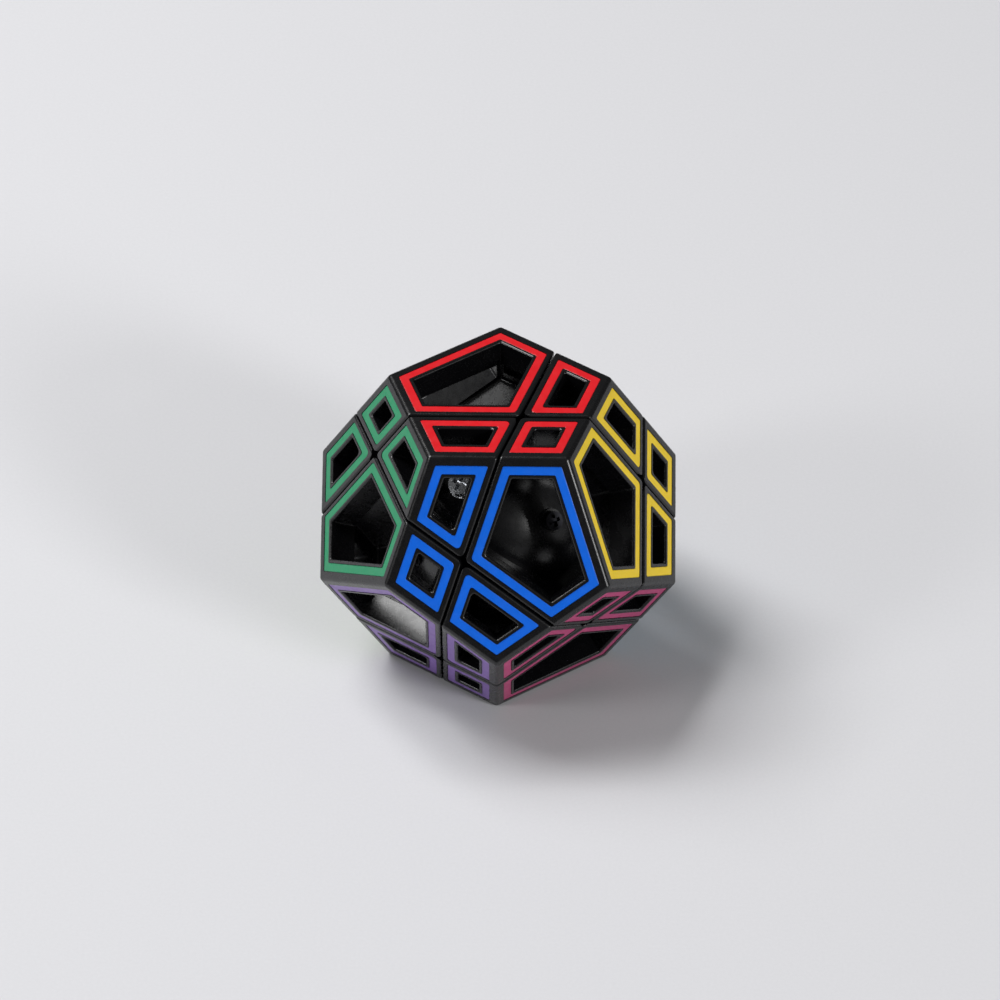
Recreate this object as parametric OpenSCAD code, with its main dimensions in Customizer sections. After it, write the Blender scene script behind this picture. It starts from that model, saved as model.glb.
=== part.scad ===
// Hollow twisty dodecahedron: fourteen open frames on spring-loaded screws round one core.
// Four planes through the centre cut it into eight corner pieces and six edge pieces.
// The puzzle stands on one face, with the centre of that face at the origin and +Z up.

/* [Size] */
// Distance between two opposite faces
across_flats = 70; // [67:1:76]

/* [Frames] */
// Gap between two neighbouring pieces along a cut
cut_gap = 0.35; // [0.25:0.05:0.5]
// Thickness of the walls that run along the cuts
wall = 1.6; // [1.3:0.1:2]
// Thickness of the plates that form the outer faces
plate = 2; // [1.6:0.1:2.4]
// Thickness of the dished floor of each frame
floor_thickness = 1.45; // [1.2:0.05:1.8]
// Distance from a dodecahedron edge to the window opening
window_edge_inset = 4.9; // [4.4:0.1:5.2]
// Distance from a cut to the window opening
window_cut_inset = 4.4; // [4.1:0.1:4.8]

/* [Rings] */
// Distance from a dodecahedron edge to the coloured ring
ring_edge_inset = 2; // [1.6:0.1:2.2]
// Distance from a cut to the coloured ring
ring_cut_inset = 1.55; // [1.3:0.05:1.8]
// Width of the ring
ring_width = 2; // [1.6:0.1:2.2]
// Thickness of the ring
ring_thickness = 0.5; // [0.3:0.1:0.8]
// Depth of the ring's top below the face
ring_recess = 0.1; // [0.05:0.05:0.3]

/* [Feet] */
// Distance from the centre to the inside of the feet
foot_inner_r = 14.6; // [14.4:0.1:15]
// Distance from the centre to the underside of the grooves
groove_inner_r = 18.5; // [18:0.1:18.8]
// Distance from the centre to the top of the grooves
groove_outer_r = 22; // [21.6:0.1:22.4]
// How far a tongue reaches past its cut
tongue = 2.5; // [2:0.1:2.8]
// Play between a tongue and its groove, measured from the centre outwards
slide_gap = 0.3; // [0.2:0.05:0.4]

/* [Core] */
// Radius of the core's ball
core_r = 10; // [8:0.5:12]
// Radius of the boss under each screwed corner
boss_r = 3.4; // [3:0.1:3.6]
// Distance from the centre to the end of a boss
boss_end = 13.9; // [13.5:0.1:14]

/* [Axle screws, washers and springs] */
// Radius of the axle screw's shank
axle_r = 1.5; // [1.3:0.1:1.6]
// Distance from the centre to the screw's tip
axle_start = 5; // [4:0.5:8]
// Radius of the screw's head
head_r = 2.7; // [2.5:0.1:2.9]
// Height of the screw's head
head_height = 1.8; // [1.5:0.1:2]
// Distance from the centre to the underside of the head
head_seat = 23.3; // [23.1:0.1:23.6]
// Thickness of the washer
washer_thickness = 0.5; // [0.4:0.1:0.7]
// Radius of the washer
washer_r = 3.1; // [3:0.05:3.15]
// Radius of the pocket that holds the spring
pocket_r = 3.3; // [3.25:0.05:3.4]
// Distance from the centre to the bottom of the pocket
pocket_start = 17.2; // [16.8:0.1:17.6]
// Radius of the spring's wire
wire_r = 0.3; // [0.25:0.05:0.35]
// Turns of the spring
spring_turns = 5; // [4:1:6]

/* [Foot screws] */
// Radius of the shank
foot_screw_r = 1.2; // [1:0.1:1.3]
// Radius of the head
foot_head_r = 2.2; // [2:0.1:2.3]
// Height of the head
foot_head_height = 1.5; // [1.2:0.1:1.7]
// Distance from the centre to the underside of the head
foot_head_seat = 24.2; // [24:0.1:24.4]
// Distance from the centre to the screw's tip
foot_screw_start = 16.4; // [16:0.1:17]

/* [Hidden] */
$fn = 96;
phi = (1 + sqrt(5)) / 2;
inradius = across_flats / 2;
edge = across_flats / sqrt(phi ^ 4 / (3 - phi));
face_r = edge / (2 * sin(36));
reach = 120;
axle_clearance = 0.08;
recess_depth = 1;
recess_width = 0.9;
seat_rim = 0.6;
spring_side_play = 0.2;
spring_end_play = 0.05;

black = [0.04, 0.04, 0.045];
steel = [0.72, 0.73, 0.75];

// Every face, by its colour and its normal. The normals, the pieces' axes and the twist axes
// are written in the cube's frame, where the dodecahedron's face normals are turns of [phi, 1, 0].
FACES = [
    ["red", [1, 0, phi], [0.94, 0.13, 0.16]],
    ["blue", [phi, -1, 0], [0, 0.4, 0.92]],
    ["yellow", [phi, 1, 0], [0.97, 0.85, 0.06]],
    ["green", [0, -phi, 1], [0.1, 0.61, 0.44]],
    ["purple", [0, -phi, -1], [0.53, 0.4, 0.7]],
    ["pink", [1, 0, -phi], [0.85, 0.3, 0.52]],
    ["white", [-1, 0, phi], [0.93, 0.93, 0.92]],
    ["orange", [0, phi, 1], [0.96, 0.47, 0.08]],
    ["lime", [-phi, -1, 0], [0.55, 0.8, 0.14]],
    ["sky", [0, phi, -1], [0.36, 0.75, 0.93]],
    ["cream", [-phi, 1, 0], [0.94, 0.87, 0.62]],
    ["grey", [-1, 0, -phi], [0.55, 0.56, 0.58]],
];

// Every piece, by its place on the standing puzzle and its axis.
PIECES = [
    ["top_front_corner", [1, -1, 1]],
    ["right_corner", [1, 1, -1]],
    ["back_corner", [-1, 1, 1]],
    ["bottom_left_corner", [-1, -1, -1]],
    ["top_right_corner", [1, 1, 1]],
    ["front_corner", [1, -1, -1]],
    ["left_corner", [-1, -1, 1]],
    ["bottom_back_corner", [-1, 1, -1]],
    ["front_right_edge", [1, 0, 0]],
    ["top_back_edge", [0, 0, 1]],
    ["left_front_edge", [0, -1, 0]],
    ["right_back_edge", [0, 1, 0]],
    ["bottom_front_edge", [0, 0, -1]],
    ["back_left_edge", [-1, 0, 0]],
];

// The four screwed corners, whose axes the halves turn about. The first one's half turns here.
TWIST_AXES = [[1, -1, 1], [1, 1, -1], [-1, 1, 1], [-1, -1, -1]];
TURNING_AXIS = TWIST_AXES[0];

// The three groups that move as one.
BASE = "base";
HALF = "half";
CORNER = "corner";
GROUPS = [BASE, HALF, CORNER];

function unit(v) = v / norm(v);
function group_of(axis) =
    axis == TURNING_AXIS ? CORNER :
    axis * TURNING_AXIS > 0 ? HALF : BASE;

// The standing frame: up is the red face, and the face vertex at the back gives the direction back.
back_vertex = [0, 1 / phi, phi];
up = unit([1, 0, phi]);
back = unit(back_vertex - up * (back_vertex * up));
right = cross(back, up);
function stand(v) = [right * v, back * v, up * v];

// The four pieces that share a face: the edge piece with the large window, the edge piece with
// the small window, the corner piece on the right and the corner piece on the left.
function keep(v, size) = [for (x = v) abs(x) == size ? sign(x) : 0];
function free_sign(v) = sign((v[0] == 0 ? 1 : v[0]) * (v[1] == 0 ? 1 : v[1]) * (v[2] == 0 ? 1 : v[2]));
function corner_at(v, hand) = [for (x = v) x == 0 ? hand * free_sign(v) : sign(x)];
function owners(normal) =
    [keep(normal, phi), keep(normal, 1), corner_at(normal, 1), corner_at(normal, -1)];
function touches(face, axis) = len([for (o = owners(face[1])) if (o == axis) o]) > 0;
function faces_of(axis) = [for (face = FACES) if (touches(face, axis)) face];

// The outlines of those four pieces on the face, each starting at the point where the cuts cross,
// so that the first and last sides lie along cuts and the others along dodecahedron edges.
function vertex(k) = face_r * [cos(54 + 72 * k), sin(54 + 72 * k)];
function middle(k) = (vertex(k) + vertex(k + 1)) / 2;
crossing = (vertex(2) + vertex(4)) / 2;
OUTLINES = [
    [crossing, middle(4), vertex(0), vertex(1), middle(1)],
    [crossing, middle(2), vertex(3), middle(3)],
    [crossing, middle(3), vertex(4), middle(4)],
    [crossing, middle(1), vertex(2), middle(2)],
];

// Moves the first and last sides of an outline in by cut, and the others by side.
function inward(p, q) = unit([p[1] - q[1], q[0] - p[0]]);
function shifted(p, a, da, b, db) = p + [da * b[1] - db * a[1], db * a[0] - da * b[0]]
    / (a[0] * b[1] - a[1] * b[0]);
function inset(points, cut, side) = let (n = len(points))
    [for (i = [0 : n - 1]) let (
        before = points[(i + n - 1) % n],
        after = points[(i + 1) % n],
        depth_before = i <= 1 ? cut : side,
        depth_after = i == 0 || i == n - 1 ? cut : side
    ) shifted(points[i], inward(before, points[i]), depth_before,
        inward(points[i], after), depth_after)];

// The planes that cut a piece off. A corner piece ends before it reaches its own plane.
function is_own(axis, twist) = abs(unit(axis) * unit(twist)) > 0.9;
function cuts_of(axis) = [for (twist = TWIST_AXES) if (!is_own(axis, twist)) twist];
is_screwed = function (axis) len([for (twist = TWIST_AXES) if (twist == axis) twist]) > 0;

frame_inner_r = groove_outer_r + slide_gap / 2;
floor_r = frame_inner_r + floor_thickness;

module at_centre() translate([0, 0, inradius]) children();

module along(axis) {
    v = unit(stand(axis));
    rotate([0, acos(v[2]), atan2(v[1], v[0])]) children();
}

// Everything on the inner side of a plane that is square to axis, at this distance from the centre.
module half_space(axis, distance)
    along(axis) translate([-reach / 2, -reach / 2, distance - reach]) cube(reach);

// Puts a drawing on a face, with its Y axis pointing at the edge of the large window.
module on_face(normal) {
    n = unit(stand(normal));
    big = stand(keep(normal, phi));
    v = unit(big - n * (big * n));
    u = cross(v, n);
    multmatrix([
        [u[0], v[0], n[0], n[0] * inradius],
        [u[1], v[1], n[1], n[1] * inradius],
        [u[2], v[2], n[2], n[2] * inradius],
        [0, 0, 0, 1],
    ]) children();
}

// The wedge of space that belongs to a piece, with its sides drawn in by gap. The sides that face
// away from a screwed corner's half may lie at another distance from the centre than the others.
module wedge(axis, gap, toward = 0, away = 0)
    intersection_for (twist = cuts_of(axis)) {
        side = sign(axis * twist);
        half_space(-side * twist, -gap - (side > 0 ? toward : -away));
    }

module solid_piece(axis, gap, depth)
    intersection() {
        wedge(axis, gap);
        intersection_for (face = faces_of(axis)) half_space(face[1], inradius - depth);
    }

module window_prism(outline)
    translate([0, 0, -plate * 2])
        linear_extrude(plate * 3) polygon(inset(outline, window_cut_inset, window_edge_inset));

module ring_prism(outline, bottom, height)
    translate([0, 0, bottom])
        linear_extrude(height) difference() {
            polygon(inset(outline, ring_cut_inset, ring_edge_inset));
            polygon(inset(outline, ring_cut_inset + ring_width, ring_edge_inset + ring_width));
        }

// Window openings and the shallow grooves that the rings lie in.
module openings(axis)
    for (face = faces_of(axis), k = [0 : 3])
        if (owners(face[1])[k] == axis)
            on_face(face[1]) {
                window_prism(OUTLINES[k]);
                ring_prism(OUTLINES[k], -ring_recess - ring_thickness, ring_recess + 1);
            }

module piece_frame(axis)
    color(black) at_centre() difference() {
        solid_piece(axis, cut_gap / 2, 0);
        sphere(frame_inner_r);
        difference() {
            solid_piece(axis, cut_gap / 2 + wall, plate);
            sphere(floor_r);
            if (!is_screwed(axis)) along(axis) cylinder(foot_head_seat, r = foot_head_r + seat_rim);
        }
        openings(axis);
        along(axis) cylinder(reach / 4, r = is_screwed(axis) ? pocket_r : foot_screw_r);
    }

// One layer of a foot, between two distances from the centre.
module layer(axis, inner, outer, toward = 0, away = 0)
    difference() {
        intersection() {
            wedge(axis, cut_gap / 2, toward, away);
            sphere(outer);
        }
        sphere(inner);
    }

// A foot is grooved on the sides that face a screwed corner's half, and has tongues on the others.
module piece_foot(axis)
    color(black) at_centre() difference() {
        union() {
            layer(axis, foot_inner_r, groove_inner_r - slide_gap / 2);
            layer(axis, foot_inner_r, frame_inner_r, toward = tongue);
            layer(axis, groove_inner_r + slide_gap / 2, groove_outer_r - slide_gap / 2,
                toward = tongue, away = tongue);
        }
        along(axis) {
            if (is_screwed(axis)) {
                cylinder(reach / 4, r = axle_r + axle_clearance);
                translate([0, 0, pocket_start]) cylinder(reach / 4, r = pocket_r);
            } else {
                translate([0, 0, foot_screw_start]) cylinder(reach / 4, r = foot_screw_r);
            }
        }
    }

module rings(face, group)
    color(face[2]) at_centre() on_face(face[1])
        for (k = [0 : 3])
            if (group_of(owners(face[1])[k]) == group)
                ring_prism(OUTLINES[k], -ring_recess - ring_thickness, ring_thickness);

module core()
    color([0.2, 0.2, 0.22]) at_centre() difference() {
        union() {
            sphere(core_r);
            for (axis = TWIST_AXES) along(axis) cylinder(boss_end, r = boss_r);
        }
        for (axis = TWIST_AXES)
            along(axis) translate([0, 0, axle_start]) cylinder(reach / 4, r = axle_r);
    }

module cross_recess(width)
    for (turn = [0, 90])
        rotate(turn) translate([-width / 2, -recess_width / 2, -recess_depth])
            cube([width, recess_width, recess_depth + 1]);

// A pan-head screw that points inwards, with its head's underside at seat.
module screw(start, shank_r, seat, radius, height)
    difference() {
        union() {
            translate([0, 0, start]) cylinder(seat - start + height / 2, r = shank_r);
            translate([0, 0, seat]) cylinder(height, r = radius);
        }
        translate([0, 0, seat + height]) cross_recess(radius * 1.3);
    }

module axle_screws()
    color(steel) at_centre()
        for (axis = TWIST_AXES)
            along(axis) screw(axle_start, axle_r, head_seat, head_r, head_height);

module washers()
    color(steel) at_centre()
        for (axis = TWIST_AXES)
            along(axis) translate([0, 0, head_seat - washer_thickness]) difference() {
                cylinder(washer_thickness, r = washer_r);
                translate([0, 0, -1]) cylinder(washer_thickness + 2, r = axle_r + axle_clearance);
            }

// The spring is a helix of six-sided wire that just touches the pocket's bottom and the washer.
spring_segments = 14;
wire_sides = 6;
coil_r = washer_r - wire_r - spring_side_play;
spring_bottom = pocket_start + wire_r + spring_end_play;
spring_top = head_seat - washer_thickness - wire_r;
spring_steps = spring_turns * spring_segments;
function wire_point(i, k) = let (
    turn = 360 * i / spring_segments,
    round = 360 * k / wire_sides,
    r = coil_r + wire_r * cos(round)
) [r * cos(turn), r * sin(turn),
    spring_bottom + (spring_top - spring_bottom) * i / spring_steps + wire_r * sin(round)];
function wire_index(i, k) = i * wire_sides + (k + wire_sides) % wire_sides;

module spring()
    polyhedron(
        points = [for (i = [0 : spring_steps], k = [0 : wire_sides - 1]) wire_point(i, k)],
        faces = concat(
            [[for (k = [0 : wire_sides - 1]) wire_index(0, k)]],
            [for (i = [0 : spring_steps - 1], k = [0 : wire_sides - 1])
                [wire_index(i, k), wire_index(i + 1, k), wire_index(i + 1, k + 1), wire_index(i, k + 1)]],
            [[for (k = [wire_sides - 1 : -1 : 0]) wire_index(spring_steps, k)]]
        )
    );

module tension_springs()
    color(steel) at_centre()
        for (axis = TWIST_AXES) along(axis) spring();

module foot_screws(group)
    color(steel) at_centre()
        for (piece = PIECES)
            if (!is_screwed(piece[1]) && group_of(piece[1]) == group)
                along(piece[1])
                    screw(foot_screw_start, foot_screw_r, foot_head_seat, foot_head_r, foot_head_height);

function has_rings(face, group) =
    len([for (o = owners(face[1])) if (group_of(o) == group) o]) > 0;

core();
axle_screws();
tension_springs();
washers();
foot_screws(BASE);  // base_foot_screws
foot_screws(HALF);  // half_foot_screws
for (piece = PIECES) {
    piece_frame(piece[1]);
    piece_foot(piece[1]);
}
for (group = GROUPS, face = FACES)
    if (has_rings(face, group))
        rings(face, group);
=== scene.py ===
import math

import bmesh
import bpy
from mathutils import Matrix, Vector


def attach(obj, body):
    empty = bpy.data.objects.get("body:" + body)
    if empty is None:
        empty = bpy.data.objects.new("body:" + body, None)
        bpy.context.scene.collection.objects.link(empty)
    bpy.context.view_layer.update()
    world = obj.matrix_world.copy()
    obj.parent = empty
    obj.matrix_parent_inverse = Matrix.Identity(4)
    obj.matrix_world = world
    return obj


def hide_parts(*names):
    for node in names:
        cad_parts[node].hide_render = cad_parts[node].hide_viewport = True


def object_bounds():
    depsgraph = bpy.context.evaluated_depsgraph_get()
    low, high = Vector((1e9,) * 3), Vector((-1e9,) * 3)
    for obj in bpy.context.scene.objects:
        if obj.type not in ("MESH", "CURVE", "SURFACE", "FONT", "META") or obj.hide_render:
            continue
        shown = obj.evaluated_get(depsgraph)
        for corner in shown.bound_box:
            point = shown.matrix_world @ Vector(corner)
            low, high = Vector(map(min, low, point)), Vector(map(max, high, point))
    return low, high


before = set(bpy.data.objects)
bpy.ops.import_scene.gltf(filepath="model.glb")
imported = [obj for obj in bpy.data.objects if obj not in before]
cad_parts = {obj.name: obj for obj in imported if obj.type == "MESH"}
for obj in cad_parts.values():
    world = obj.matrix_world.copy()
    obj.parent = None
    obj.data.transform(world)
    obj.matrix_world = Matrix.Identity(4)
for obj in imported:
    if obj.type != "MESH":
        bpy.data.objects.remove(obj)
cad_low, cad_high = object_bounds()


# ---- Camera ----
# A long portrait lens on a square sensor looks down at the puzzle from the front. The puzzle
# stands a little below the middle of the picture.
MM = 0.001
puzzle_centre = Vector((0, 0, cad_high.z / 2))
camera_turn = math.radians(0.25)
camera_height = math.radians(39.4)
camera_roll = math.radians(0.46)
camera_distance = 1.517
portrait_lens = 236.3
puzzle_left = 0.34 * MM
puzzle_below = 3.82 * MM

away = Vector((
    math.sin(camera_turn) * math.cos(camera_height),
    -math.cos(camera_turn) * math.cos(camera_height),
    math.sin(camera_height),
))
level = Vector((0, 0, 1)).cross(away).normalized()
raised = away.cross(level)
camera_x = level * math.cos(camera_roll) + raised * math.sin(camera_roll)
camera_y = away.cross(camera_x)

camera = bpy.data.objects.new("camera", bpy.data.cameras.new("camera"))
bpy.context.scene.collection.objects.link(camera)
camera.data.sensor_width = 36
camera.data.lens = portrait_lens
camera.data.clip_start = 0.1
camera.data.clip_end = 20
camera.matrix_world = Matrix.Translation(
    puzzle_centre + away * camera_distance + camera_x * puzzle_left + camera_y * puzzle_below
) @ Matrix((camera_x, camera_y, away)).transposed().to_4x4()
bpy.context.scene.camera = camera


# ---- Floor and studio light ----
# A sheet of pale grey matt paper under the puzzle, lit by three large soft boxes and a pale room.
# It is the stage, and not part of the puzzle.
floor_size = 6
paper_fibre = 0.8 * MM
paper_tones = 0xCDCDD0, 0xD3D3D6
room_brightness = 0.1
MIX_A, MIX_B, MIXED = 6, 7, 2  # the two colours that go into a Mix node, and the one that comes out


def srgb(code):
    """The linear colour and alpha of an sRGB hex value such as 0x0066EB."""
    channels = [(code >> shift & 255) / 255 for shift in (16, 8, 0)]
    linear = [c / 12.92 if c <= 0.04045 else ((c + 0.055) / 1.055) ** 2.4 for c in channels]
    return (*linear, 1)


def add(material, kind, values=None, links=None, **settings):
    """Adds a node with its settings, the values of its inputs and the sockets that feed them."""
    node = material.node_tree.nodes.new(kind)
    for name, value in settings.items():
        setattr(node, name, value)
    for name, value in (values or {}).items():
        node.inputs[name].default_value = value
    for name, source in (links or {}).items():
        material.node_tree.links.new(source, node.inputs[name])
    return node


def new_material(name, **values):
    """A material with its principled shader's own sockets set."""
    material = bpy.data.materials.new(name)
    material.use_nodes = True
    shader = material.node_tree.nodes["Principled BSDF"]
    for socket, value in values.items():
        shader.inputs[socket.replace("_", " ")].default_value = value
    return material, shader


def feed(material, shader, **links):
    """Links sockets into the shader."""
    for socket, source in links.items():
        material.node_tree.links.new(source, shader.inputs[socket.replace("_", " ")])


paper, paper_shader = new_material("matt_pale_grey_paper", Roughness=0.85)
paper_place = add(paper, "ShaderNodeTexCoord").outputs["Object"]
paper_fibres = add(
    paper, "ShaderNodeTexNoise", {"Scale": 1 / paper_fibre, "Detail": 3}, {"Vector": paper_place}
)
paper_tone = add(
    paper, "ShaderNodeMix", {MIX_A: srgb(paper_tones[0]), MIX_B: srgb(paper_tones[1])},
    {"Factor": paper_fibres.outputs["Fac"]}, data_type="RGBA",
)
feed(paper, paper_shader, Base_Color=paper_tone.outputs[MIXED])

floor_mesh = bmesh.new()
bmesh.ops.create_grid(floor_mesh, x_segments=1, y_segments=1, size=floor_size / 2)
floor = bpy.data.objects.new("floor", bpy.data.meshes.new("floor"))
floor_mesh.to_mesh(floor.data)
floor_mesh.free()
floor.data.materials.append(paper)
bpy.context.scene.collection.objects.link(floor)

world = bpy.data.worlds.new("pale_room")
world.use_nodes = True
world.node_tree.nodes["Background"].inputs["Color"].default_value = (1, 1, 1, 1)
world.node_tree.nodes["Background"].inputs["Strength"].default_value = room_brightness
bpy.context.scene.world = world
bpy.context.scene.view_settings.view_transform = "Standard"


def soft_box(name, place, size, power):
    """A square area light that faces the puzzle."""
    data = bpy.data.lights.new(name, "AREA")
    data.size = size
    data.energy = power
    light = bpy.data.objects.new(name, data)
    light.location = place
    light.rotation_euler = (puzzle_centre - Vector(place)).to_track_quat("-Z", "Y").to_euler()
    bpy.context.scene.collection.objects.link(light)


soft_box("overhead_light", (-0.8, 0.45, 1.5), 0.9, 30)
soft_box("left_light", (-1.3, -0.7, 0.9), 0.4, 6)
soft_box("right_light", (1.2, -1.1, 0.8), 0.4, 14)


# ---- The puzzle's shape ----
# A regular dodecahedron that stands on one face, cut into fourteen pieces by four planes through
# its centre. Directions are written in the cube that the dodecahedron's edges are parallel to.
phi = (1 + math.sqrt(5)) / 2
fifth_turn = math.radians(72)
inradius = cad_high.z / 2 / MM
edge = 2 * inradius / math.sqrt(phi ** 4 / (3 - phi))
face_r = edge / (2 * math.sin(fifth_turn / 2))

up = Vector((1, 0, phi)).normalized()
back_vertex = Vector((0, 1 / phi, phi))
back = (back_vertex - up * back_vertex.dot(up)).normalized()
right = back.cross(up)

FACES = {
    "red": (1, 0, phi),
    "blue": (phi, -1, 0),
    "yellow": (phi, 1, 0),
    "green": (0, -phi, 1),
    "purple": (0, -phi, -1),
    "pink": (1, 0, -phi),
    "white": (-1, 0, phi),
    "orange": (0, phi, 1),
    "lime": (-phi, -1, 0),
    "sky": (0, phi, -1),
    "cream": (-phi, 1, 0),
    "grey": (-1, 0, -phi),
}
PIECES = {
    "top_front_corner": (1, -1, 1),
    "right_corner": (1, 1, -1),
    "back_corner": (-1, 1, 1),
    "bottom_left_corner": (-1, -1, -1),
    "top_right_corner": (1, 1, 1),
    "front_corner": (1, -1, -1),
    "left_corner": (-1, -1, 1),
    "bottom_back_corner": (-1, 1, -1),
    "front_right_edge": (1, 0, 0),
    "top_back_edge": (0, 0, 1),
    "left_front_edge": (0, -1, 0),
    "right_back_edge": (0, 1, 0),
    "bottom_front_edge": (0, 0, -1),
    "back_left_edge": (-1, 0, 0),
}
TWIST_AXES = [PIECES[name] for name in list(PIECES)[:4]]


def stand(direction):
    """Turns a direction of the cube into one of the standing puzzle."""
    v = Vector(direction)
    return Vector((right.dot(v), back.dot(v), up.dot(v)))


def keep(normal, size):
    """The axis along the one coordinate of a face normal that has this size."""
    return tuple(int(math.copysign(1, x)) if abs(x) == size else 0 for x in normal)


def corner_at(normal, hand):
    """The corner piece on the right (hand 1) or left (hand -1) of a face."""
    sign = math.prod(int(math.copysign(1, x)) for x in normal if x)
    return tuple(int(math.copysign(1, x)) if x else hand * sign for x in normal)


def owners(normal):
    """The edge piece with the large window, the one with the small window, and the two corners."""
    return [keep(normal, phi), keep(normal, 1), corner_at(normal, 1), corner_at(normal, -1)]


def face_frame(normal):
    """The matrix of a face, in millimetres from the centre: Z out, Y towards the large window's edge."""
    n = stand(normal).normalized()
    big = stand(keep(normal, phi))
    v = (big - n * big.dot(n)).normalized()
    u = v.cross(n)
    return Matrix.Translation(n * inradius) @ Matrix((u, v, n)).transposed().to_4x4()


def vertex(k):
    """A corner of a face, counted round from the right end of the large window's edge."""
    angle = (k + 0.75) * fifth_turn
    return Vector((face_r * math.cos(angle), face_r * math.sin(angle)))


def middle(k):
    """The middle of a side of a face."""
    return (vertex(k) + vertex(k + 1)) / 2


crossing = (vertex(2) + vertex(4)) / 2
OUTLINES = [
    [crossing, middle(4), vertex(0), vertex(1), middle(1)],
    [crossing, middle(2), vertex(3), middle(3)],
    [crossing, middle(3), vertex(4), middle(4)],
    [crossing, middle(1), vertex(2), middle(2)],
]


def inset(points, cut, side):
    """Moves the first and last sides of an outline in by cut, and the others by side."""
    count = len(points)
    moved = []
    for i, point in enumerate(points):
        before = point - points[i - 1]
        after = points[(i + 1) % count] - point
        a = Vector((-before.y, before.x)).normalized()
        b = Vector((-after.y, after.x)).normalized()
        depth_a = cut if i <= 1 else side
        depth_b = cut if i in (0, count - 1) else side
        turn = a.x * b.y - a.y * b.x
        moved.append(point + Vector((depth_a * b.y - depth_b * a.y, depth_b * a.x - depth_a * b.x)) / turn)
    return moved


def rides_on(axis):
    """The CAD body that a piece moves with."""
    if axis == TWIST_AXES[0]:
        return "turning_corner"
    return "turning_half" if Vector(axis).dot(Vector(TWIST_AXES[0])) > 0 else "base"


# ---- Black frames ----
# Fourteen open frames, injection moulded in semi-gloss black ABS. Each has a flat plate for every
# face that it touches, walls along the cuts and a dished floor that its foot is screwed to.
cut_gap = 0.35
wall = 1.6
window_depth = 6.4
frame_inner_r = 22.15
floor_r = 23.6
window_edge_inset = 4.9
window_cut_inset = 4.4
ring_edge_inset = 2
ring_cut_inset = 1.55
ring_width = 2
ring_depth = 0.6
ring_clearance = 0.05
ring_outer_rounds = 1, 0.4
ring_inner_rounds = 0.5, 0.3
pocket_r = 3.3
foot_screw_r = 1.2
seat_r = 2.8
seat_top = 24.2
hole_start = 5
hole_end = 30
trim_distance = 12
reach = 200

outer_edge_round = 1.2
cut_edge_round = 0.6
crossing_round = 2.1
inner_round = 0.6
window_crossing_round = 1.1
window_corner_round = 0.75
lip_round = 0.5
lip_turns = [math.radians(a) for a in (15, 35, 55, 75, 90)]
round_steps = 4
overshoot = 0.3  # how far a cutter goes on past the surface that it opens
aligned = 0.999  # two unit normals are taken as one direction above this product
weld_distance = 0.0005

black_tones = 0x050507, 0x0C0C0E
tone_patch = 7 * MM
handled_patch = 2.5 * MM
orange_peel = 1.2 * MM


def solid_between(planes):
    """A closed convex solid that lies behind every plane, each given as a normal and a distance."""
    solid = bmesh.new()
    bmesh.ops.create_cube(solid, size=reach)
    for normal, distance in planes:
        everything = solid.verts[:] + solid.edges[:] + solid.faces[:]
        cut = bmesh.ops.bisect_plane(
            solid, geom=everything, plane_co=normal * distance, plane_no=normal, clear_outer=True
        )
        rim = [e for e in cut["geom_cut"] if isinstance(e, bmesh.types.BMEdge)]
        bmesh.ops.contextual_create(solid, geom=rim)
    bmesh.ops.recalc_face_normals(solid, faces=solid.faces)
    return solid


def round_edges(solid, radius_of):
    """Makes an object of a convex solid, with each edge rounded to the radius that radius_of gives."""
    weight = solid.edges.layers.float.new("bevel_weight_edge")
    setbacks = {}
    for e in solid.edges:
        radius = radius_of(*[f.normal for f in e.link_faces])
        inside = math.pi - e.calc_face_angle()
        setbacks[e] = radius / math.tan(inside / 2)
    widest = max(setbacks.values())
    for e, setback in setbacks.items():
        e[weight] = setback / widest
    piece = as_object(solid, "rounded")
    bevel = piece.modifiers.new("round", "BEVEL")
    bevel.limit_method = "WEIGHT"
    bevel.width = widest
    bevel.segments = round_steps
    bevel.use_clamp_overlap = False
    return piece


def as_object(solid, name):
    """Puts a bmesh in an object of its own."""
    mesh = bpy.data.meshes.new(name)
    solid.to_mesh(mesh)
    solid.free()
    made = bpy.data.objects.new(name, mesh)
    bpy.context.scene.collection.objects.link(made)
    return made


def settle(piece):
    """Applies the modifiers of a piece to its mesh."""
    graph = bpy.context.evaluated_depsgraph_get()
    mesh = bpy.data.meshes.new_from_object(piece.evaluated_get(graph))
    piece.modifiers.clear()
    piece.data = mesh


def cut_away(piece, cutters):
    """Takes the cutters out of a piece, and removes them."""
    for cutter in cutters:
        cut = piece.modifiers.new("cut", "BOOLEAN")
        cut.operation = "DIFFERENCE"
        cut.solver = "MANIFOLD"
        cut.object = cutter
    settle(piece)
    for cutter in cutters:
        bpy.data.objects.remove(cutter)


def ball(radius):
    """A ball round the puzzle's centre."""
    solid = bmesh.new()
    bmesh.ops.create_uvsphere(solid, u_segments=96, v_segments=64, radius=radius)
    return as_object(solid, "ball")


def rod(axis, radius, start, end):
    """A cylinder along a direction, between two distances from the centre."""
    solid = bmesh.new()
    bmesh.ops.create_cone(
        solid, cap_ends=True, segments=64, radius1=radius, radius2=radius, depth=end - start
    )
    bmesh.ops.translate(solid, verts=solid.verts, vec=(0, 0, (start + end) / 2))
    turn = stand(axis).to_track_quat("Z", "Y").to_matrix()
    bmesh.ops.rotate(solid, verts=solid.verts, cent=(0, 0, 0), matrix=turn)
    return as_object(solid, "rod")


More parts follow.
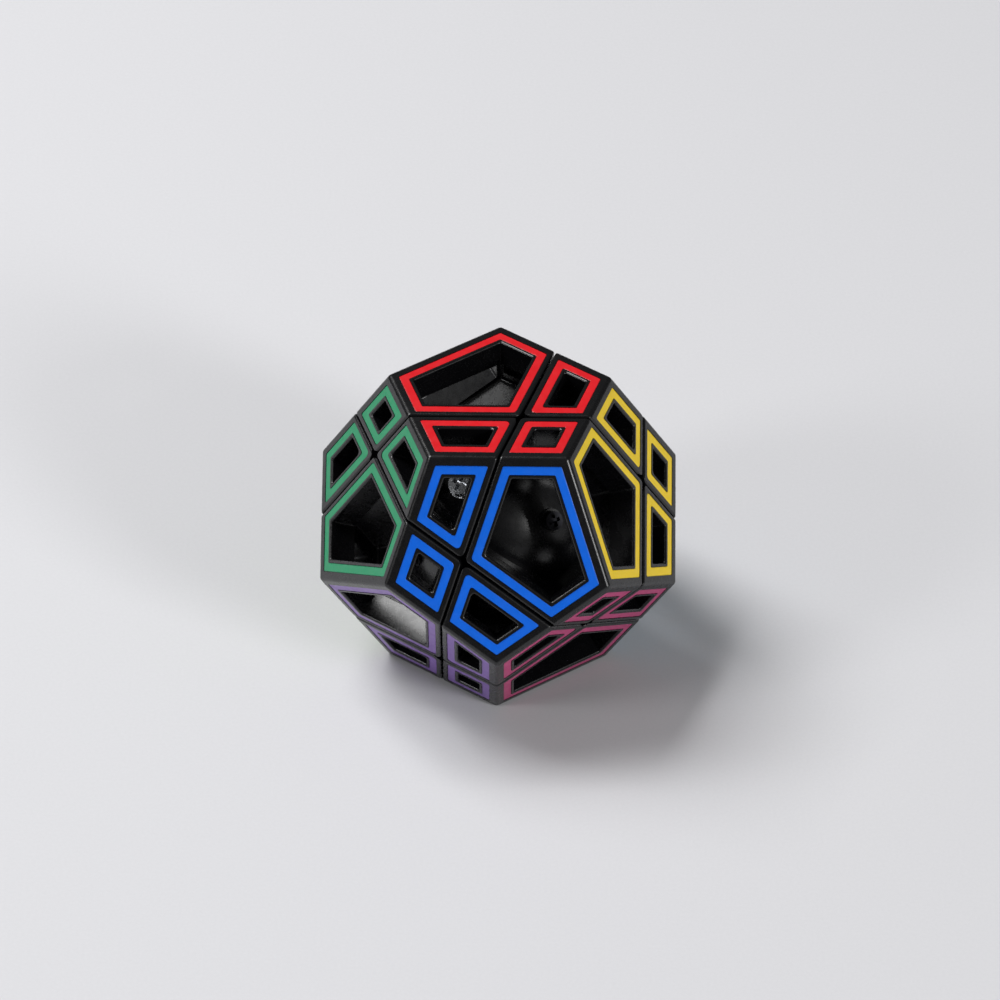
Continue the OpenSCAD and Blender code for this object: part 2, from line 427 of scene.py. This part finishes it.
def outline_face(solid, points, height, crossing_r, corner_r):
    """A flat face with this outline. Its corner at the crossing is rounded by a radius of its own."""
    corners = [solid.verts.new((*p, height)) for p in points]
    solid.faces.new(corners)
    setbacks = []
    for i, p in enumerate(points):
        to_last = points[i - 1] - p
        to_next = points[(i + 1) % len(points)] - p
        setbacks.append((corner_r if i else crossing_r) / math.tan(to_last.angle(to_next) / 2))
    for corner, setback in zip(corners, setbacks):
        bmesh.ops.bevel(
            solid, geom=[corner], affect="VERTICES", offset=setback, segments=round_steps,
            profile=0.5, material=-1,
        )
    return solid.faces[:][-1]


def draw_down(solid, face, depth):
    """Extrudes a face down, and returns the face that moved."""
    moved = bmesh.ops.extrude_face_region(solid, geom=[face])["geom"]
    bmesh.ops.translate(
        solid, verts=[v for v in moved if isinstance(v, bmesh.types.BMVert)], vec=(0, 0, -depth)
    )
    solid.normal_update()
    return next(f for f in moved if isinstance(f, bmesh.types.BMFace))


def window_cutter(outline, place):
    """The space of a window: straight walls, and a lip that is rounded over towards the face."""
    solid = bmesh.new()
    first = lip_round * (1 - math.sin(lip_turns[0]))
    points = inset(outline, window_cut_inset - first, window_edge_inset - first)
    face = outline_face(solid, points, overshoot, window_crossing_round, window_corner_round)
    face = draw_down(solid, face, overshoot + lip_round * (1 - math.cos(lip_turns[0])))
    for last, turn in zip(lip_turns, lip_turns[1:]):
        bmesh.ops.inset_region(
            solid, faces=[face], thickness=lip_round * (math.sin(turn) - math.sin(last)),
            use_even_offset=True,
        )
        drop = lip_round * (math.cos(last) - math.cos(turn))
        bmesh.ops.translate(solid, verts=face.verts, vec=(0, 0, -drop))
        solid.normal_update()
    draw_down(solid, face, window_depth + overshoot)
    bmesh.ops.delete(solid, geom=[face], context="FACES_ONLY")
    bmesh.ops.recalc_face_normals(solid, faces=solid.faces)
    bmesh.ops.transform(solid, matrix=place, verts=solid.verts)
    return as_object(solid, "window")


def band(outline, place, bottom, height, spread):
    """A flat band that follows an outline: a ring, or with some spread the groove that it lies in."""
    solid = bmesh.new()
    edges = []
    for inwards, rounds in ((-spread, ring_outer_rounds), (ring_width + spread, ring_inner_rounds)):
        before = set(solid.edges)
        points = inset(outline, ring_cut_inset + inwards, ring_edge_inset + inwards)
        outline_face(solid, points, bottom, *rounds)
        edges.append([e for e in solid.edges if e not in before])
    bmesh.ops.delete(solid, geom=solid.faces[:], context="FACES_ONLY")
    bmesh.ops.bridge_loops(solid, edges=edges[0] + edges[1])
    raised_part = bmesh.ops.extrude_face_region(solid, geom=solid.faces[:])["geom"]
    bmesh.ops.translate(
        solid, verts=[v for v in raised_part if isinstance(v, bmesh.types.BMVert)], vec=(0, 0, height)
    )
    bmesh.ops.recalc_face_normals(solid, faces=solid.faces)
    bmesh.ops.transform(solid, matrix=place, verts=solid.verts)
    return solid


def finish_mesh(piece, name, sharp_degrees=32):
    """Smooths a mesh between its sharp edges, brings it to metres and puts it in the puzzle's place."""
    solid = bmesh.new()
    solid.from_mesh(piece.data)
    bmesh.ops.remove_doubles(solid, verts=solid.verts, dist=weld_distance)
    bmesh.ops.dissolve_degenerate(solid, edges=solid.edges, dist=weld_distance)
    for f in solid.faces:
        f.smooth = True
    for e in solid.edges:
        e.smooth = len(e.link_faces) == 2 and e.calc_face_angle() < math.radians(sharp_degrees)
    bmesh.ops.transform(
        solid, matrix=Matrix.Translation(puzzle_centre) @ Matrix.Scale(MM, 4), verts=solid.verts
    )
    solid.to_mesh(piece.data)
    solid.free()
    piece.name = name
    piece.data.name = name
    normals = piece.modifiers.new("even_normals", "WEIGHTED_NORMAL")
    normals.keep_sharp = True
    normals.weight = 100


# Semi-gloss black ABS, moulded in a polished tool: deep black with a soft shine, tones that drift over
# 7 mm, patches of 2.5 mm polished by fingers and a faint orange peel, drawn coarse at 1.2 mm to show.
black_abs, shader = new_material("semi_gloss_black_abs", Roughness=0.27, IOR=1.53)
place = add(black_abs, "ShaderNodeTexCoord").outputs["Object"]
patches = add(
    black_abs, "ShaderNodeTexNoise", {"Scale": 1 / tone_patch, "Detail": 4, "Roughness": 0.6},
    {"Vector": place},
)
tone = add(
    black_abs, "ShaderNodeMix", {MIX_A: srgb(black_tones[0]), MIX_B: srgb(black_tones[1])},
    {"Factor": patches.outputs["Fac"]}, data_type="RGBA",
)
handling = add(
    black_abs, "ShaderNodeTexNoise", {"Scale": 1 / handled_patch, "Detail": 5, "Roughness": 0.65},
    {"Vector": place},
)
gloss = add(
    black_abs, "ShaderNodeMapRange",
    {"From Min": 0.25, "From Max": 0.75, "To Min": 0.22, "To Max": 0.32},
    {"Value": handling.outputs["Fac"]},
)
peel = add(black_abs, "ShaderNodeTexNoise", {"Scale": 1 / orange_peel, "Detail": 2}, {"Vector": place})
relief = add(
    black_abs, "ShaderNodeBump", {"Strength": 0.35, "Distance": 0.02 * MM}, {"Height": peel.outputs["Fac"]}
)
feed(
    black_abs, shader,
    Base_Color=tone.outputs[MIXED], Roughness=gloss.outputs[0], Normal=relief.outputs[0],
)

for name, axis in PIECES.items():
    own_faces = [n for n in FACES.values() if axis in owners(n)]
    outwards = stand(axis).normalized()
    sides = []
    for twist in TWIST_AXES:
        facing = Vector(axis).dot(Vector(twist))
        if Vector(axis).cross(Vector(twist)).length > 0:  # the plane across its own axis misses a corner
            sides.append(-math.copysign(1, facing) * stand(twist).normalized())

    def radius_of(a, b):
        """Radius of an edge between two sides of a frame, by what each of them is."""
        cuts = sum(n.dot(s) > aligned for n in (a, b) for s in sides)
        if any(-outwards.dot(n) > aligned for n in (a, b)):
            return 0
        return (outer_edge_round, cut_edge_round, crossing_round)[cuts]

    shell = solid_between(
        [(s, -cut_gap / 2) for s in sides]
        + [(stand(n).normalized(), inradius) for n in own_faces]
        + [(-outwards, -trim_distance)]
    )
    piece = round_edges(shell, radius_of)

    hollow = solid_between(
        [(s, -cut_gap / 2 - wall) for s in sides]
        + [(stand(n).normalized(), inradius - window_depth) for n in own_faces]
        + [(-outwards, -trim_distance)]
    )
    cavity = round_edges(hollow, lambda a, b: inner_round)

    screwed = axis in TWIST_AXES
    cavity_cutters = [ball(floor_r)]
    if not screwed:
        cavity_cutters.append(rod(axis, seat_r, hole_start, seat_top))
    cut_away(cavity, cavity_cutters)

    cutters = [cavity, ball(frame_inner_r)]
    cutters.append(rod(axis, pocket_r if screwed else foot_screw_r, hole_start, hole_end))
    for normal in own_faces:
        for owner, outline in zip(owners(normal), OUTLINES):
            if owner == axis:
                matrix = face_frame(normal)
                cutters.append(window_cutter(outline, matrix))
                groove = band(outline, matrix, -ring_depth, ring_depth + overshoot, ring_clearance)
                cutters.append(as_object(groove, "groove"))
    cut_away(piece, cutters)
    finish_mesh(piece, name + "_shell")
    piece.data.materials.clear()
    piece.data.materials.append(black_abs)
    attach(piece, rides_on(axis))
    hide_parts(name + "_frame")


# ---- Coloured rings ----
# Flat bands of satin coloured ABS, one round every window, pressed into the grooves of the
# frames. Four rings of one colour make a face.
ring_thickness = 0.5
ring_edge_round = 0.12
ring_sharp_degrees = 15
flow_mark = 4 * MM
rubbed_patch = 1.5 * MM
satin_grain = 0.35 * MM

RING_COLOURS = {
    "red": 0xD2141E,
    "blue": 0x0068E6,
    "yellow": 0xFFDA00,
    "green": 0x088658,
    "purple": 0x8462B0,
    "pink": 0xB43A70,
    "white": 0xEFEFED,
    "orange": 0xF57A14,
    "lime": 0x8CCB24,
    "sky": 0x5CBFED,
    "cream": 0xF0DE9E,
    "grey": 0x8C8F94,
}
BODY_WORDS = {"base": "base", "turning_half": "half", "turning_corner": "corner"}

# Satin coloured ABS: even colour with weak flow marks of 4 mm, patches of 1.5 mm that are rubbed
# smoother, and the fine spark grain of the mould.
for colour, normal in FACES.items():
    satin, shader = new_material(f"satin_{colour}_abs", Roughness=0.35, IOR=1.5)
    place = add(satin, "ShaderNodeTexCoord").outputs["Object"]
    flow = add(satin, "ShaderNodeTexNoise", {"Scale": 1 / flow_mark, "Detail": 3}, {"Vector": place})
    shade = add(
        satin, "ShaderNodeMapRange", {"To Min": 0.9, "To Max": 1.08}, {"Value": flow.outputs["Fac"]}
    )
    tint = add(
        satin, "ShaderNodeHueSaturation", {"Color": srgb(RING_COLOURS[colour])}, {"Value": shade.outputs[0]}
    )
    rub = add(satin, "ShaderNodeTexNoise", {"Scale": 1 / rubbed_patch, "Detail": 4}, {"Vector": place})
    gloss = add(
        satin, "ShaderNodeMapRange",
        {"From Min": 0.3, "From Max": 0.7, "To Min": 0.28, "To Max": 0.42},
        {"Value": rub.outputs["Fac"]},
    )
    grain = add(satin, "ShaderNodeTexNoise", {"Scale": 1 / satin_grain, "Detail": 2}, {"Vector": place})
    relief = add(
        satin, "ShaderNodeBump", {"Strength": 0.25, "Distance": 0.01 * MM},
        {"Height": grain.outputs["Fac"]},
    )
    feed(
        satin, shader,
        Base_Color=tint.outputs[0], Roughness=gloss.outputs[0], Normal=relief.outputs[0],
    )

    matrix = face_frame(normal)
    for body, word in BODY_WORDS.items():
        outlines = [o for owner, o in zip(owners(normal), OUTLINES) if rides_on(owner) == body]
        if not outlines:
            continue
        rings = bmesh.new()
        for outline in outlines:
            one = band(outline, matrix, -ring_depth, ring_thickness, 0)
            n = matrix.to_3x3() @ Vector((0, 0, 1))
            rim = [
                e for e in one.edges
                if {f.normal.dot(n) > aligned for f in e.link_faces} == {True, False}
            ]
            bmesh.ops.bevel(
                one, geom=rim, affect="EDGES", offset=ring_edge_round, segments=2, profile=0.5, material=-1
            )
            holder = bpy.data.meshes.new("ring")
            one.to_mesh(holder)
            one.free()
            rings.from_mesh(holder)
            bpy.data.meshes.remove(holder)
        piece = as_object(rings, "rings")
        finish_mesh(piece, f"{colour}_rings_of_{word}", ring_sharp_degrees)
        piece.data.materials.append(satin)
        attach(piece, body)
        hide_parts(f"{word}_{colour}_rings")


# ---- Feet ----
# Curved feet under the frames, moulded in black acetal. Their tongues and grooves slide in each
# other, so the plastic is satin, and rubbing has polished patches of about 3 mm.
acetal_tones = 0x101012, 0x1E1E21
polished_patch = 3 * MM
acetal_grain = 0.4 * MM

acetal, shader = new_material("satin_black_acetal", Roughness=0.4, IOR=1.48)
place = add(acetal, "ShaderNodeTexCoord").outputs["Object"]
wear = add(acetal, "ShaderNodeTexNoise", {"Scale": 1 / polished_patch, "Detail": 5}, {"Vector": place})
tone = add(
    acetal, "ShaderNodeMix", {MIX_A: srgb(acetal_tones[0]), MIX_B: srgb(acetal_tones[1])},
    {"Factor": wear.outputs["Fac"]}, data_type="RGBA",
)
gloss = add(
    acetal, "ShaderNodeMapRange", {"To Min": 0.28, "To Max": 0.5}, {"Value": wear.outputs["Fac"]}
)
grain = add(acetal, "ShaderNodeTexNoise", {"Scale": 1 / acetal_grain, "Detail": 2}, {"Vector": place})
relief = add(
    acetal, "ShaderNodeBump", {"Strength": 0.3, "Distance": 0.02 * MM}, {"Height": grain.outputs["Fac"]}
)
feed(
    acetal, shader,
    Base_Color=tone.outputs[MIXED], Roughness=gloss.outputs[0], Normal=relief.outputs[0],
)


def refinish(node, material):
    """Gives a CAD node a material."""
    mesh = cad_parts[node].data
    mesh.materials.clear()
    mesh.materials.append(material)


for name in PIECES:
    refinish(name + "_foot", acetal)


# ---- Core ----
# A ball with four bosses for the axle screws, moulded in dark grey glass-filled nylon. The glass
# fibres at the surface make it dull and speckled.
nylon_tones = 0x2C2C30, 0x414146
glass_speckle = 0.5 * MM

nylon, shader = new_material("dark_grey_nylon", Roughness=0.55, IOR=1.53)
place = add(nylon, "ShaderNodeTexCoord").outputs["Object"]
fibres = add(
    nylon, "ShaderNodeTexNoise", {"Scale": 1 / glass_speckle, "Detail": 4, "Roughness": 0.7},
    {"Vector": place},
)
tone = add(
    nylon, "ShaderNodeMix", {MIX_A: srgb(nylon_tones[0]), MIX_B: srgb(nylon_tones[1])},
    {"Factor": fibres.outputs["Fac"]}, data_type="RGBA",
)
relief = add(
    nylon, "ShaderNodeBump", {"Strength": 0.4, "Distance": 0.03 * MM}, {"Height": fibres.outputs["Fac"]}
)
feed(nylon, shader, Base_Color=tone.outputs[MIXED], Normal=relief.outputs[0])
refinish("core", nylon)


# ---- Axle screws, washers and springs ----
# Four steel screws hold the screwed corners to the core, each through a washer and a spring. Their
# bright zinc plating is a little cloudy, in spots of about a millimetre.
zinc_tones = 0xB9BCC2, 0xDDDFE2
zinc_spot = 1.2 * MM

zinc, shader = new_material("zinc_plated_steel", Metallic=1.0, Roughness=0.3)
place = add(zinc, "ShaderNodeTexCoord").outputs["Object"]
cloud = add(zinc, "ShaderNodeTexNoise", {"Scale": 1 / zinc_spot, "Detail": 5}, {"Vector": place})
tone = add(
    zinc, "ShaderNodeMix", {MIX_A: srgb(zinc_tones[0]), MIX_B: srgb(zinc_tones[1])},
    {"Factor": cloud.outputs["Fac"]}, data_type="RGBA",
)
gloss = add(
    zinc, "ShaderNodeMapRange", {"To Min": 0.14, "To Max": 0.34}, {"Value": cloud.outputs["Fac"]}
)
relief = add(
    zinc, "ShaderNodeBump", {"Strength": 0.3, "Distance": 0.02 * MM}, {"Height": cloud.outputs["Fac"]}
)
feed(
    zinc, shader,
    Base_Color=tone.outputs[MIXED], Roughness=gloss.outputs[0], Normal=relief.outputs[0],
)
for node in ("axle_screws", "tension_springs", "washers"):
    refinish(node, zinc)


# ---- Foot screws ----
# Ten short pan-head screws of black-oxide steel, which hold the frames to their feet. The oxide
# is a thin, slightly oily skin: nearly black, with a soft sheen and brighter rubbed spots.
oxide_tones = 0x1B1B1E, 0x3A3A3E
rubbed_spot = 0.9 * MM

oxide, shader = new_material("black_oxide_steel", Metallic=1.0, Roughness=0.4)
place = add(oxide, "ShaderNodeTexCoord").outputs["Object"]
rubbed = add(oxide, "ShaderNodeTexNoise", {"Scale": 1 / rubbed_spot, "Detail": 5}, {"Vector": place})
tone = add(
    oxide, "ShaderNodeMix", {MIX_A: srgb(oxide_tones[0]), MIX_B: srgb(oxide_tones[1])},
    {"Factor": rubbed.outputs["Fac"]}, data_type="RGBA",
)
gloss = add(
    oxide, "ShaderNodeMapRange", {"To Min": 0.3, "To Max": 0.5}, {"Value": rubbed.outputs["Fac"]}
)
relief = add(
    oxide, "ShaderNodeBump", {"Strength": 0.3, "Distance": 0.02 * MM}, {"Height": rubbed.outputs["Fac"]}
)
feed(
    oxide, shader,
    Base_Color=tone.outputs[MIXED], Roughness=gloss.outputs[0], Normal=relief.outputs[0],
)
for node in ("base_foot_screws", "half_foot_screws"):
    refinish(node, oxide)
